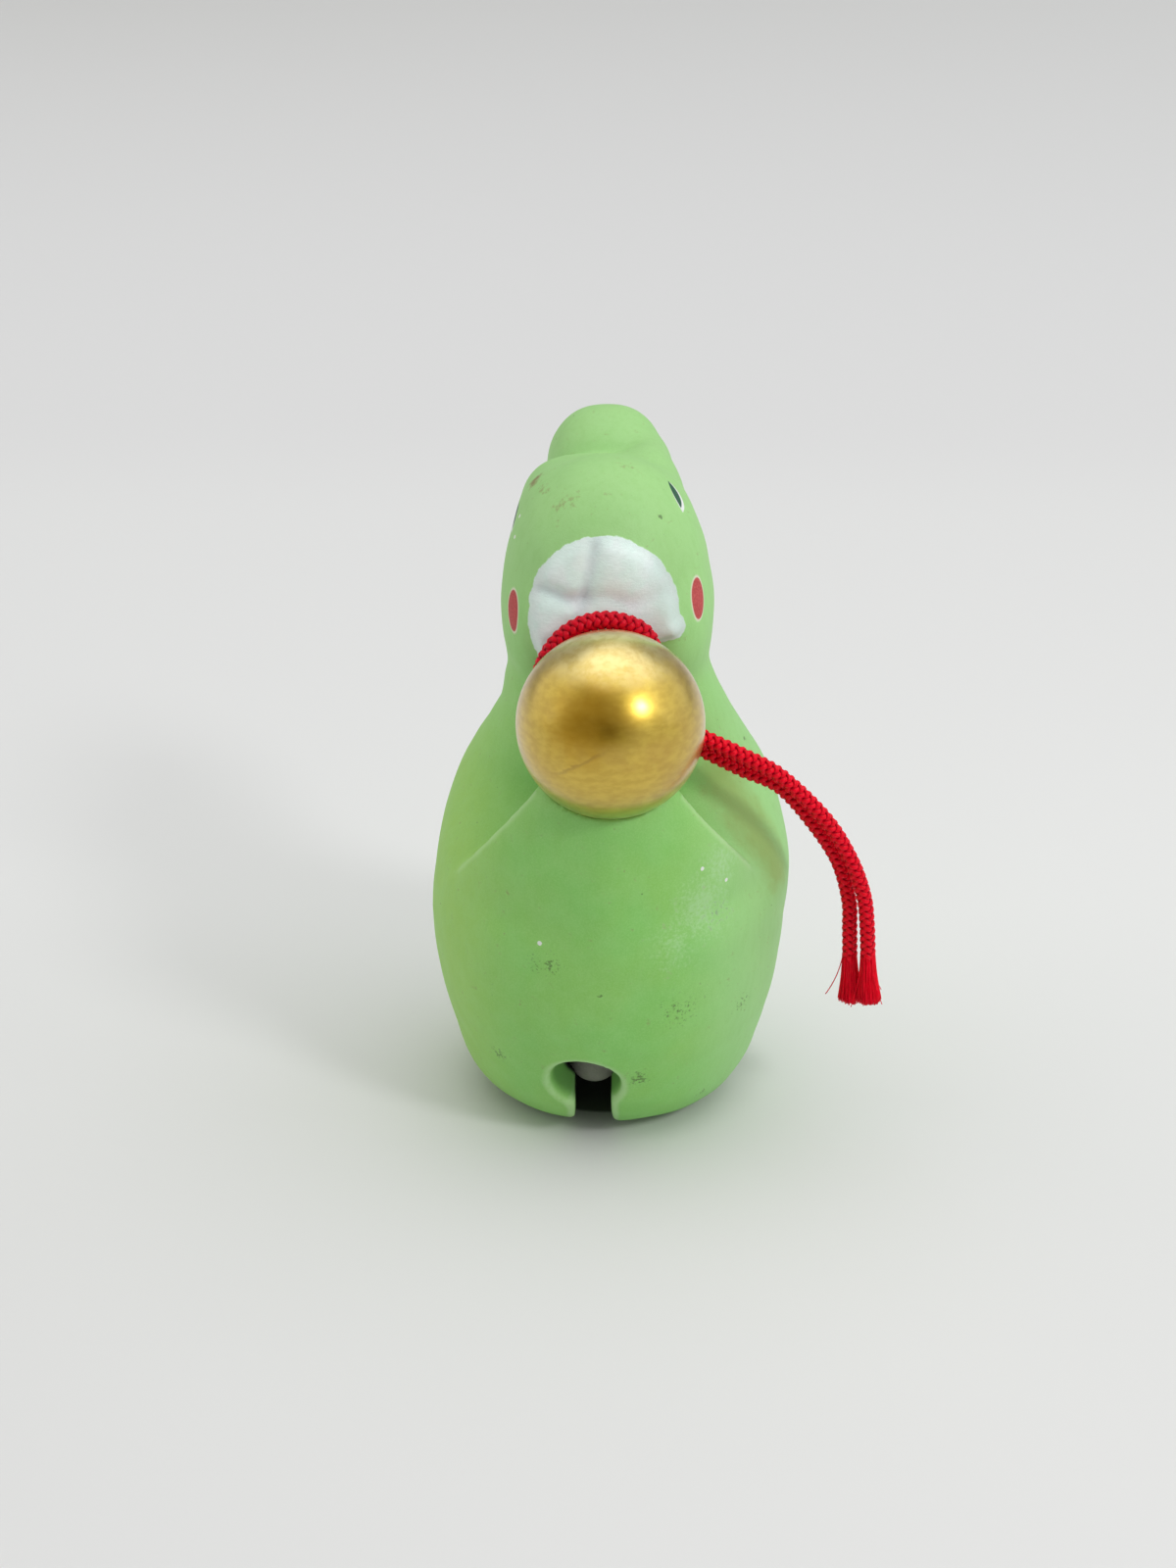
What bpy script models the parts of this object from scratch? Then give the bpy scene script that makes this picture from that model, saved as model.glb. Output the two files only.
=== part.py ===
"""Painted clay bell in the shape of a small seated animal with a ball on its tail.

The hollow shell is pressed in two halves that meet on the middle plane. A ball is luted
between the tip of the tail and the nape, a pellet lies loose in the chamber, and a braided
cord is tied round the joint of ball and nape. Metres, +Z up, the animal looks along +Y,
and the origin lies on the floor under the middle of the bell.
"""
import math

import bmesh
import bpy
import numpy as np
from mathutils import Matrix, Vector

# Flat foot that the bell stands on
BASE_HALF_WIDTH = 0.0125
BASE_BACK = 0.0100
BASE_FRONT = 0.0115

# Belly, the widest level of the body
BELLY_HEIGHT = 0.0280
BELLY_HALF_WIDTH = 0.02205
BELLY_BACK = 0.0250
BELLY_FRONT = 0.0220

# Neck, and how full the shoulders stay on the way up to it
NECK_HEIGHT = 0.0580
NECK_HALF_WIDTH = 0.01245
NECK_BACK = 0.0100
NECK_FRONT = 0.0115
NAPE_HEIGHT = 0.0450
SHOULDER_FULLNESS = 1.3

# Skull, muzzle, brow, chin, cheeks and mane: half sizes across, along and up, then the place.
# Skull and mane are set by how far they stand proud of the nape
SKULL_HALF = (0.0126, 0.0112, 0.0133)
SKULL_HEIGHT = 0.0695
SKULL_PROUD = 0.0002
MUZZLE_HALF = (0.0084, 0.0125, 0.0090)
MUZZLE_CENTRE = (0.0, 0.0150, 0.0745)
MUZZLE_TILT = 12.0
BROW_HALF = (0.0104, 0.0110, 0.0108)
BROW_CENTRE = (0.0, 0.0070, 0.0700)
CHIN_HALF = (0.0076, 0.0105, 0.0072)
CHIN_CENTRE = (0.0, 0.0125, 0.0668)
CHEEK_HALF = (0.0056, 0.0080, 0.0068)
CHEEK_CENTRE = (0.0074, 0.0030, 0.0640)
MANE_HALF = (0.0064, 0.0046, 0.0080)
MANE_SIDE = 0.0048
MANE_HEIGHT = 0.0692
MANE_PROUD = 0.0006

# Tail, which leaves the back of the belly and narrows up to the ball
TAIL_ROOT_HEIGHT = 0.0200
TAIL_BEND_HEIGHT = 0.0260
TAIL_BULGE = 0.0012
TAIL_TAPER = 1.25
TAIL_GROOVE = 0.85
TAIL_TIP_HALF_WIDTH = 0.0062
TAIL_TIP_HALF_DEPTH = 0.0044

# Ball on the tail: its height, and how far it is bedded into the nape and the tail
BALL_RADIUS = 0.0108
BALL_HEIGHT = 0.0578
BALL_BITE = 0.0008
TAIL_BITE = 0.0050

# Clay wall and the chamber inside it
WALL = 0.0040
FLOOR = 0.0045
FLOOR_INSET = 0.0010
CHAMBER_TOP = 0.0500
CHAMBER_DOME = 0.0150

# Sounding slit under the bell and the round hole at each end of it
SLIT_WIDTH = 0.0044
SLIT_OFFSET = -0.0016
KEYHOLE_HEIGHT = 0.0108
KEYHOLE_RADIUS = 0.00475
KEYHOLE_DEPTH = 0.0065
KEYHOLE_TILT = 25.0
KEYHOLE_SHIFT = -0.0010

# Loose pellet, where it lies along the slit
PELLET_RADIUS = 0.0035
PELLET_BACK = 0.0089

# Cord tied round the joint of ball and nape
CORD_DIAMETER = 0.0019
LOOP_GAP = 0.0010
KNOT_RADIUS = 0.0023
KNOT_HALF_DEPTH = 0.0019
KNOT_ANGLE = -26.0
KNOT_LEAN = 45.3

# Routes of the two free ends, from the middle of the knot, as they hang
END_UPPER_ROUTE = (
    (0.0024, -0.0012, -0.0004), (0.0077, -0.0017, -0.0028), (0.0121, -0.0017, -0.0054),
    (0.0175, -0.0017, -0.0111), (0.0207, -0.0017, -0.0165), (0.0226, -0.0017, -0.0214),
    (0.0233, -0.0017, -0.0254), (0.0236, -0.0017, -0.0294), (0.0239, -0.0017, -0.0328),
    (0.0243, -0.0017, -0.0360))
END_LOWER_ROUTE = (
    (0.0018, -0.0001, -0.0021), (0.0075, -0.0001, -0.0051), (0.0119, -0.0001, -0.0076),
    (0.0157, -0.0001, -0.0123), (0.0189, -0.0001, -0.0175), (0.0205, -0.0001, -0.0228),
    (0.0210, -0.0001, -0.0268), (0.0212, -0.0001, -0.0308), (0.0212, -0.0001, -0.0340),
    (0.0211, -0.0001, -0.0368))
END_POINTS = 15
ROUTE_STEPS = 400

# Gaps left between pieces that touch, and how finely round shapes are cut
CLEARANCE = 0.0003
SEAM = 0.0003
BODY_SIDES = 40
BODY_RINGS = 26
TAIL_SIDES = 32
TAIL_RINGS = 14
CHAMBER_SIDES = 28
CHAMBER_RINGS = 14
DOME_END = 0.995
LARGE_LUMP = (32, 18)
MIDDLE_LUMP = (28, 16)
SMALL_LUMP = (20, 12)
KEYHOLE_SIDES = 28
LOOP_POINTS = 24
CUT_REACH = 0.120

# Places that follow from the sizes above
skull_centre = (0.0, -NECK_BACK - SKULL_PROUD + SKULL_HALF[1], SKULL_HEIGHT)
mane_back = -NECK_BACK - MANE_PROUD + MANE_HALF[1]
ball_centre = Vector((0.0, -NECK_BACK - BALL_RADIUS + BALL_BITE, BALL_HEIGHT))
tail_top = BALL_HEIGHT - BALL_RADIUS + TAIL_BITE
muzzle_reach = math.hypot(MUZZLE_HALF[1] * math.cos(math.radians(MUZZLE_TILT)),
                          MUZZLE_HALF[2] * math.sin(math.radians(MUZZLE_TILT)))
overall_front = MUZZLE_CENTRE[1] + muzzle_reach
overall_back = ball_centre.y - BALL_RADIUS
slit_top = KEYHOLE_HEIGHT + KEYHOLE_DEPTH * math.sin(math.radians(KEYHOLE_TILT))
pellet_seat = math.sqrt((PELLET_RADIUS + CLEARANCE) ** 2 - (SLIT_WIDTH / 2) ** 2)
pellet_centre = Vector((SLIT_OFFSET, -PELLET_BACK, FLOOR + pellet_seat))

# The loop lies in the groove between ball and nape, and the knot leans on the ball beside it
loop_centre = Vector((0.0, -NECK_BACK - LOOP_GAP - CORD_DIAMETER / 2, BALL_HEIGHT))
loop_reach = BALL_RADIUS + CLEARANCE + CORD_DIAMETER / 2
loop_radius = math.sqrt(loop_reach ** 2 - (loop_centre.y - ball_centre.y) ** 2)
knot_turn = Matrix.Rotation(-math.radians(KNOT_ANGLE), 3, "Y")
knot_way = knot_turn @ Vector((math.cos(math.radians(KNOT_LEAN)), math.sin(math.radians(KNOT_LEAN)), 0.0))
knot_half = Vector((KNOT_RADIUS, KNOT_HALF_DEPTH, KNOT_RADIUS))
knot_centre = ball_centre + knot_way * (BALL_RADIUS + CLEARANCE + (knot_half * knot_way).length)


def clear_scene():
    for item in list(bpy.data.objects):
        bpy.data.objects.remove(item, do_unlink=True)


def collection(name):
    made = bpy.data.collections.new(name)
    bpy.context.scene.collection.children.link(made)
    return made


def painted(name, colour, roughness, metallic=0.0):
    material = bpy.data.materials.new(name)
    material.use_nodes = True
    shader = material.node_tree.nodes["Principled BSDF"]
    shader.inputs["Base Color"].default_value = (*colour, 1.0)
    shader.inputs["Roughness"].default_value = roughness
    shader.inputs["Metallic"].default_value = metallic
    return material


def add_object(name, mesh, group, material=None):
    item = bpy.data.objects.new(name, mesh)
    group.objects.link(item)
    item.parent = bell
    if material:
        mesh.materials.append(material)
    if group is cutters:
        item.hide_render = True
        item.display_type = "WIRE"
    return item


def rising(height, low, low_height, high, high_height):
    """Quarter of an ellipse from low at low_height out to high at high_height."""
    share = np.clip((height - low_height) / (high_height - low_height), 0.0, 1.0)
    return low + (high - low) * np.sqrt(1.0 - (1.0 - share) ** 2)


def closing(height, low, low_height, high, high_height, fullness=1.0):
    """Half a wave from low at low_height to high at high_height."""
    share = np.clip((height - low_height) / (high_height - low_height), 0.0, 1.0)
    return high + (low - high) * 0.5 * (1.0 + np.cos(np.pi * share ** fullness))


def body_outline(height, wall=0.0, floor_inset=0.0, floor=0.0):
    """Half width, back and front of the body at each height, drawn in by a wall and above a floor."""
    def side(base, belly, neck, neck_height):
        lower = rising(height, base - floor_inset, floor, belly - wall, BELLY_HEIGHT)
        upper = closing(height, belly - wall, BELLY_HEIGHT, neck - wall, neck_height, SHOULDER_FULLNESS)
        return np.where(height < BELLY_HEIGHT, lower, upper)
    width = side(BASE_HALF_WIDTH, BELLY_HALF_WIDTH, NECK_HALF_WIDTH, NECK_HEIGHT)
    back = side(BASE_BACK, BELLY_BACK, NECK_BACK, NAPE_HEIGHT)
    front = side(BASE_FRONT, BELLY_FRONT, NECK_FRONT, NECK_HEIGHT)
    return width, -back, front


def tail_outline(height):
    """Half width, back and front of the tail, from the body's own outline at its root up to the tip."""
    root_width, root_back, root_front = (side[0] for side in body_outline(np.array([TAIL_ROOT_HEIGHT])))
    root_width -= CLEARANCE
    root_back += CLEARANCE
    root_front -= CLEARANCE
    tip_back = ball_centre.y - TAIL_TIP_HALF_DEPTH
    tip_front = ball_centre.y + TAIL_TIP_HALF_DEPTH
    taper = np.clip((height - TAIL_BEND_HEIGHT) / (tail_top - TAIL_BEND_HEIGHT), 0.0, 1.0)
    width = root_width + (TAIL_TIP_HALF_WIDTH - root_width) * taper ** TAIL_TAPER
    rise = (height - TAIL_ROOT_HEIGHT) / (tail_top - TAIL_ROOT_HEIGHT)
    back = root_back + (tip_back - root_back) * rise - TAIL_BULGE * np.sin(np.pi * rise)
    front = closing(height, root_front, TAIL_ROOT_HEIGHT, tip_front, tail_top, TAIL_GROOVE)
    return width, back, front


def loft(name, heights, outline, sides):
    """Skin over level elliptical sections, each with its half width, back and front."""
    width, back, front = outline
    shape = bmesh.new()
    turn = np.arange(sides) * 2.0 * np.pi / sides
    rings = []
    for row, height in enumerate(heights):
        middle = (back[row] + front[row]) / 2
        half_depth = (front[row] - back[row]) / 2
        across = width[row] * np.cos(turn)
        along = middle + half_depth * np.sin(turn)
        rings.append([shape.verts.new((x, y, height)) for x, y in zip(across, along)])
    for lower, upper in zip(rings, rings[1:]):
        for side in range(sides):
            after = (side + 1) % sides
            shape.faces.new((lower[side], lower[after], upper[after], upper[side]))
    shape.faces.new(reversed(rings[0]))
    shape.faces.new(rings[-1])
    mesh = bpy.data.meshes.new(name)
    shape.to_mesh(mesh)
    shape.free()
    return mesh


def ellipsoid(name, half, centre, facets, tilt=0.0):
    """Ball stretched to its half sizes, tipped up at the front by tilt."""
    sides, rings = facets
    place = (Matrix.Translation(centre) @ Matrix.Rotation(math.radians(tilt), 4, "X")
             @ Matrix.Diagonal((*half, 1.0)))
    shape = bmesh.new()
    bmesh.ops.create_uvsphere(shape, u_segments=sides, v_segments=rings, radius=1.0, matrix=place)
    mesh = bpy.data.meshes.new(name)
    shape.to_mesh(mesh)
    shape.free()
    mesh.shade_smooth()
    return mesh


def block(name, low, high):
    low, high = Vector(low), Vector(high)
    place = Matrix.Translation((low + high) / 2) @ Matrix.Diagonal((*(high - low), 1.0))
    shape = bmesh.new()
    bmesh.ops.create_cube(shape, size=1.0, matrix=place)
    mesh = bpy.data.meshes.new(name)
    shape.to_mesh(mesh)
    shape.free()
    return mesh


def combine(item, other, operation):
    """Add or cut one closed solid. The exact solver leaves the parted halves open here."""
    step = item.modifiers.new(f"{operation.lower()} {other.name}", "BOOLEAN")
    step.object = other
    step.operation = operation
    step.solver = "MANIFOLD"


def body_heights():
    """Section heights, closer together where the foot turns up into the wall."""
    lower = BELLY_HEIGHT * (1.0 - np.cos(np.linspace(0.0, np.pi / 2, BODY_RINGS // 2)))
    upper = np.linspace(BELLY_HEIGHT, SKULL_HEIGHT, BODY_RINGS // 2 + 1)[1:]
    return np.concatenate([lower, upper])


def chamber_mesh():
    """The body's own outline drawn in by the wall, domed at the top."""
    lower = FLOOR + (BELLY_HEIGHT - FLOOR) * (1.0 - np.cos(np.linspace(0.0, np.pi / 2, CHAMBER_RINGS // 2)))
    dome_start = CHAMBER_TOP - CHAMBER_DOME
    upper = np.linspace(BELLY_HEIGHT, dome_start, 3)[1:]
    dome = dome_start + CHAMBER_DOME * np.sin(np.linspace(0.0, np.pi / 2, CHAMBER_RINGS // 2)[1:])
    heights = np.concatenate([lower, upper, dome])
    width, back, front = body_outline(heights, WALL, FLOOR_INSET, FLOOR)
    rise = np.clip((heights - dome_start) / CHAMBER_DOME, 0.0, DOME_END)
    shrink = np.sqrt(1.0 - rise ** 2)
    middle = (back + front) / 2
    reach = (front - back) / 2 * shrink
    return loft("chamber", heights, (width * shrink, middle - reach, middle + reach), CHAMBER_SIDES)


def keyhole_mesh(name, end):
    """Round hole at one end of the slit, narrowing inwards to the width of the slit."""
    outline = body_outline(np.array([KEYHOLE_HEIGHT]))
    mouth = Vector((SLIT_OFFSET + KEYHOLE_SHIFT, outline[2][0] if end > 0 else outline[1][0], KEYHOLE_HEIGHT))
    tilt = math.radians(KEYHOLE_TILT)
    inward = Vector((-KEYHOLE_SHIFT / KEYHOLE_DEPTH, -end * math.cos(tilt), math.sin(tilt))).normalized()
    taper = (KEYHOLE_RADIUS - SLIT_WIDTH / 2) / KEYHOLE_DEPTH
    place = (Matrix.Translation(mouth) @ inward.to_track_quat("Z", "Y").to_matrix().to_4x4())
    shape = bmesh.new()
    bmesh.ops.create_cone(shape, cap_ends=True, segments=KEYHOLE_SIDES, depth=2 * KEYHOLE_DEPTH, matrix=place,
                          radius1=KEYHOLE_RADIUS + taper * KEYHOLE_DEPTH, radius2=SLIT_WIDTH / 2)
    mesh = bpy.data.meshes.new(name)
    shape.to_mesh(mesh)
    shape.free()
    return mesh


def shell_halves():
    """The figure is built whole, hollowed and slit, then parted on its middle plane."""
    heights = body_heights()
    tail_heights = np.linspace(TAIL_ROOT_HEIGHT, tail_top, TAIL_RINGS)
    lumps = [loft("tail_lump", tail_heights, tail_outline(tail_heights), TAIL_SIDES),
             ellipsoid("skull_lump", SKULL_HALF, skull_centre, LARGE_LUMP),
             ellipsoid("muzzle_lump", MUZZLE_HALF, MUZZLE_CENTRE, MIDDLE_LUMP, MUZZLE_TILT),
             ellipsoid("brow_lump", BROW_HALF, BROW_CENTRE, MIDDLE_LUMP),
             ellipsoid("chin_lump", CHIN_HALF, CHIN_CENTRE, MIDDLE_LUMP)]
    for side, word in ((-1, "left"), (1, "right")):
        cheek = (side * CHEEK_CENTRE[0], *CHEEK_CENTRE[1:])
        mane = (side * MANE_SIDE, mane_back, MANE_HEIGHT)
        lumps.append(ellipsoid(f"{word}_cheek_lump", CHEEK_HALF, cheek, SMALL_LUMP))
        lumps.append(ellipsoid(f"{word}_mane_lump", MANE_HALF, mane, SMALL_LUMP))
    hollows = [chamber_mesh(), keyhole_mesh("back_keyhole", -1), keyhole_mesh("front_keyhole", 1),
               block("slit", (SLIT_OFFSET - SLIT_WIDTH / 2, -CUT_REACH, -CUT_REACH),
                     (SLIT_OFFSET + SLIT_WIDTH / 2, CUT_REACH, slit_top)),
               ellipsoid("ball_seat", (BALL_RADIUS + CLEARANCE,) * 3, ball_centre, LARGE_LUMP)]
    lump_objects = [add_object(mesh.name, mesh, cutters) for mesh in lumps]
    hollow_objects = [add_object(mesh.name, mesh, cutters) for mesh in hollows]
    for name, side in (("shell_left", -1), ("shell_right", 1)):
        half = add_object(name, loft(name, heights, body_outline(heights), BODY_SIDES), parts, green_paint)
        for other in lump_objects:
            combine(half, other, "UNION")
        for other in hollow_objects:
            combine(half, other, "DIFFERENCE")
        left, right = sorted((-side * CUT_REACH, side * SEAM / 2))
        away = block(f"{name}_away", (left, -CUT_REACH, -CUT_REACH), (right, CUT_REACH, CUT_REACH))
        combine(half, add_object(away.name, away, cutters), "DIFFERENCE")


def cord_tube(name, points):
    """Round cord along a smooth run of points."""
    curve = bpy.data.curves.new(name, "CURVE")
    curve.dimensions = "3D"
    curve.bevel_depth = CORD_DIAMETER / 2
    curve.bevel_resolution = 2
    curve.use_fill_caps = True
    run = curve.splines.new("POLY")
    run.points.add(len(points) - 1)
    for spot, point in zip(run.points, points):
        spot.co = (*point, 1.0)
    return add_object(name, curve, parts, red_cord)


def smooth_run(route, count):
    """Even points on a smooth curve through the route's own points."""
    route = np.array(route)
    tangents = np.gradient(route, axis=0)
    place = np.linspace(0.0, len(route) - 1.0, ROUTE_STEPS)
    start = np.minimum(place.astype(int), len(route) - 2)
    t = (place - start)[:, None]
    dense = ((2 * t ** 3 - 3 * t ** 2 + 1) * route[start] + (t ** 3 - 2 * t ** 2 + t) * tangents[start]
             + (3 * t ** 2 - 2 * t ** 3) * route[start + 1] + (t ** 3 - t ** 2) * tangents[start + 1])
    length = np.concatenate([[0.0], np.cumsum(np.linalg.norm(np.diff(dense, axis=0), axis=1))])
    even = np.linspace(0.0, length[-1], count)
    return np.stack([np.interp(even, length, dense[:, axis]) for axis in range(3)], axis=1), length[-1]


def tie_cord():
    """Loop round the joint, the knot beside the ball and the two ends that hang from it."""
    aside = knot_centre - loop_centre
    knot_angle = math.atan2(aside.z, aside.x)
    reach = math.hypot(aside.x, aside.z)
    stop = math.hypot(KNOT_RADIUS + CLEARANCE, CORD_DIAMETER / 2)
    clear_angle = math.acos((loop_radius ** 2 + aside.length_squared - stop ** 2) / (2 * loop_radius * reach))
    angles = np.linspace(knot_angle + clear_angle, knot_angle + 2 * math.pi - clear_angle, LOOP_POINTS)
    cord_tube("cord_loop", [loop_centre + Vector((math.cos(angle), 0.0, math.sin(angle))) * loop_radius
                            for angle in angles])
    add_object("cord_knot", ellipsoid("cord_knot", knot_half, knot_centre, SMALL_LUMP), parts, red_cord)
    for name, route in (("cord_end_upper", END_UPPER_ROUTE), ("cord_end_lower", END_LOWER_ROUTE)):
        points, length = smooth_run(route, END_POINTS)
        end = cord_tube(name, points)
        end.location = knot_centre
        print(f"{name}: {length:.4f} m")


clear_scene()
parts = collection("clay_bell")
cutters = collection("clay_bell_cutters")
bell = bpy.data.objects.new("bell", None)
bell.location = (0.0, -(overall_front + overall_back) / 2, 0.0)
parts.objects.link(bell)

green_paint = painted("green_paint", (0.33, 0.62, 0.22), 0.75)
gold_paint = painted("gold_paint", (0.72, 0.47, 0.10), 0.32, 0.9)
bare_clay = painted("bare_clay", (0.72, 0.70, 0.66), 0.85)
red_cord = painted("red_cord", (0.55, 0.01, 0.03), 0.6)

shell_halves()
add_object("tail_ball", ellipsoid("tail_ball", (BALL_RADIUS,) * 3, ball_centre, LARGE_LUMP), parts, gold_paint)
pellet_mesh = ellipsoid("pellet", (PELLET_RADIUS,) * 3, (0.0, 0.0, 0.0), SMALL_LUMP)
add_object("pellet", pellet_mesh, parts, bare_clay).location = pellet_centre
tie_cord()
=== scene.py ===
import math
from functools import partialmethod

import bpy
import numpy as np
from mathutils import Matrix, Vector


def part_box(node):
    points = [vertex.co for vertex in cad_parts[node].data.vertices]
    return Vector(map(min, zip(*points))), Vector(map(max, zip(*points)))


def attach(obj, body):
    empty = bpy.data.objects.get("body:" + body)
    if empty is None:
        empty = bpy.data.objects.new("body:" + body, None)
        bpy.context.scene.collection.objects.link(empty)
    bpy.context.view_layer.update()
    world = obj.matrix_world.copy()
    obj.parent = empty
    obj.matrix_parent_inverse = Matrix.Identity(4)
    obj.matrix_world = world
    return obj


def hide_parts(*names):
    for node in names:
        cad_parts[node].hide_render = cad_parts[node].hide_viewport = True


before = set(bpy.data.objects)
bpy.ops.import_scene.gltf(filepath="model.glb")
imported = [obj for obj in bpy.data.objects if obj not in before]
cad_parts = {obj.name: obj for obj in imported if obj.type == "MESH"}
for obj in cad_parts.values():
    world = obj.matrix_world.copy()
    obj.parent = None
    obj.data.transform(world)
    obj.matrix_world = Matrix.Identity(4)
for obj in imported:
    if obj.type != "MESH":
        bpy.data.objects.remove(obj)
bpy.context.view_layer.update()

scene = bpy.context.scene
scene.view_settings.view_transform = "Standard"

# Places that the solids give. Shapes are worked out in millimetres from the trunk's axis
mm = 0.001
ballLow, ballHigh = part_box("tail_ball")
knotLow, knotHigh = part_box("cord_knot")
loopLow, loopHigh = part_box("cord_loop")
pelletLow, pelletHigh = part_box("pellet")
ballBehindAxis = 20.0
axisShift = np.array([0.0, (ballLow.y + ballHigh.y) / 2 / mm + ballBehindAxis, 0.0])


def fromFrame(low, high):  # middle of a solid's box, in millimetres from the trunk's axis
    return np.array((low + high) / 2) / mm - axisShift


ballAside = 0.35  # the ball is stuck on slightly to the right of the middle
ballCentre = fromFrame(ballLow, ballHigh) + np.array([ballAside, 0.0, 0.0])
knotCentre = fromFrame(knotLow, knotHigh)
pelletCentre = fromFrame(pelletLow, pelletHigh)
ballRadius = (ballHigh.x - ballLow.x) / 2 / mm
pelletRadius = (pelletHigh.x - pelletLow.x) / 2 / mm


def unit(vectors):
    return vectors / np.linalg.norm(vectors, axis=-1, keepdims=True)


def smoothStep(value, low, high):  # 0 below low, 1 above high, an S curve between
    t = np.clip((value - low) / (high - low), 0.0, 1.0)
    return t * t * (3.0 - 2.0 * t)


# Camera at the photograph's view
photoView = {
    "target": (-2.55, 0.0, 41.0), "distance": 300.0, "azimuth": 1.0, "elevation": 25.0,
    "focalPixels": 2475.0, "imageHeight": 1600.0, "sensor": 36.0,
}


def addCamera(view):
    turn, rise = math.radians(view["azimuth"]), math.radians(view["elevation"])
    back = Vector((math.sin(turn) * math.cos(rise), -math.cos(turn) * math.cos(rise), math.sin(rise)))
    target = Vector((np.array(view["target"]) + axisShift) * mm)
    data = bpy.data.cameras.new("photo_camera")
    data.sensor_width = view["sensor"]
    data.lens = view["focalPixels"] * view["sensor"] / view["imageHeight"]
    data.clip_start = 0.01
    camera = bpy.data.objects.new("photo_camera", data)
    camera.location = target + back * view["distance"] * mm
    camera.rotation_euler = (-back).to_track_quat("-Z", "Y").to_euler()
    scene.collection.objects.link(camera)
    scene.camera = camera


addCamera(photoView)
print("camera placed")


# Shader expressions: a Term wraps a socket, and arithmetic on it adds Math nodes
class Term:
    def __init__(self, nodes, socket):
        self.nodes = nodes
        self.socket = socket

    def math(self, operation, *others):
        return self.nodes.math(operation, self, *others)

    __add__ = __radd__ = partialmethod(math, "ADD")
    __sub__ = partialmethod(math, "SUBTRACT")
    __mul__ = __rmul__ = partialmethod(math, "MULTIPLY")
    __truediv__ = partialmethod(math, "DIVIDE")
    __pow__ = partialmethod(math, "POWER")
    root = partialmethod(math, "SQRT")
    sine = partialmethod(math, "SINE")
    size = partialmethod(math, "ABSOLUTE")
    least = partialmethod(math, "MINIMUM")
    most = partialmethod(math, "MAXIMUM")

    def __rsub__(self, other):
        return self.nodes.math("SUBTRACT", other, self)

    def between(self, low, high):  # 0 at low, 1 at high, an S curve between
        made = self.nodes.node("ShaderNodeMapRange", {"interpolation_type": "SMOOTHSTEP"},
                               {"Value": self, "From Min": low, "From Max": high})
        return Term(self.nodes, made.outputs["Result"])


class Nodes:
    def __init__(self, tree):
        self.tree = tree

    def node(self, kind, settings=None, sockets=None):
        made = self.tree.nodes.new(kind)
        for name, value in (settings or {}).items():
            setattr(made, name, value)
        for name, value in (sockets or {}).items():
            self.feed(made.inputs[name], value)
        return made

    def feed(self, socket, value):
        if isinstance(value, Term):
            value = value.socket
        if isinstance(value, bpy.types.NodeSocket):
            self.tree.links.new(value, socket)
        elif isinstance(value, tuple) and len(value) == 3 and socket.type == "RGBA":
            socket.default_value = (*value, 1.0)
        else:
            socket.default_value = value

    def math(self, operation, *values):
        made = self.node("ShaderNodeMath", {"operation": operation}, dict(enumerate(values)))
        return Term(self, made.outputs[0])

    def vector(self, operation, *values):
        made = self.node("ShaderNodeVectorMath", {"operation": operation}, dict(enumerate(values)))
        return made.outputs

    def mix(self, share, first, second):
        made = self.node("ShaderNodeMix", {"data_type": "RGBA"}, {0: share, 6: first, 7: second})
        return made.outputs[2]

    def layers(self, colour, *coats):  # each coat has its share and its colour
        for share, coat in coats:
            colour = self.mix(share, colour, coat)
        return colour


class Finish(Nodes):
    def __init__(self, name):
        self.material = bpy.data.materials.new(name)
        self.material.use_nodes = True
        super().__init__(self.material.node_tree)
        self.tree.nodes.clear()
        self.shader = self.node("ShaderNodeBsdfPrincipled")
        self.node("ShaderNodeOutputMaterial", {}, {"Surface": self.shader.outputs[0]})

    def set(self, **values):
        for name, value in values.items():
            self.feed(self.shader.inputs[name.replace("_", " ")], value)

    def split(self, vector):
        made = self.node("ShaderNodeSeparateXYZ", {}, {0: vector})
        return [Term(self, socket) for socket in made.outputs]

    def place(self):  # millimetres from the trunk's axis
        found = self.node("ShaderNodeTexCoord").outputs["Object"]
        self.point = self.vector("MULTIPLY_ADD", found, (1 / mm,) * 3, tuple(-axisShift))[0]
        return self.split(self.point)

    def marks(self):  # three numbers that the mesh keeps for each point
        self.mark = self.node("ShaderNodeAttribute", {"attribute_name": "marks"}).outputs["Vector"]
        return self.split(self.mark)

    def gap(self, place):
        return Term(self, self.vector("DISTANCE", self.point, place)["Value"])

    def stretched(self, scale, vector=None):
        return self.vector("MULTIPLY", vector or self.point, scale)[0]

    def noise(self, scale, detail=2.0, vector=None, roughness=0.5):
        made = self.node("ShaderNodeTexNoise", {}, {"Vector": vector or self.point, "Scale": scale,
                                                   "Detail": detail, "Roughness": roughness})
        return Term(self, made.outputs["Fac"])

    def blend(self, share, first, second):
        made = self.node("ShaderNodeMix", {"data_type": "FLOAT"}, {0: share, 2: first, 3: second})
        return Term(self, made.outputs[0])

    def bump(self, height, strength, distance):
        sockets = {"Height": height, "Strength": strength, "Distance": distance * mm}
        self.set(Normal=self.node("ShaderNodeBump", {}, sockets).outputs[0])


def addMesh(name, points, faces, finish):
    mesh = bpy.data.meshes.new(name)
    mesh.from_pydata(points, [], faces)
    mesh.materials.append(finish.material)
    made = bpy.data.objects.new(name, mesh)
    scene.collection.objects.link(made)
    return made


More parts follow.
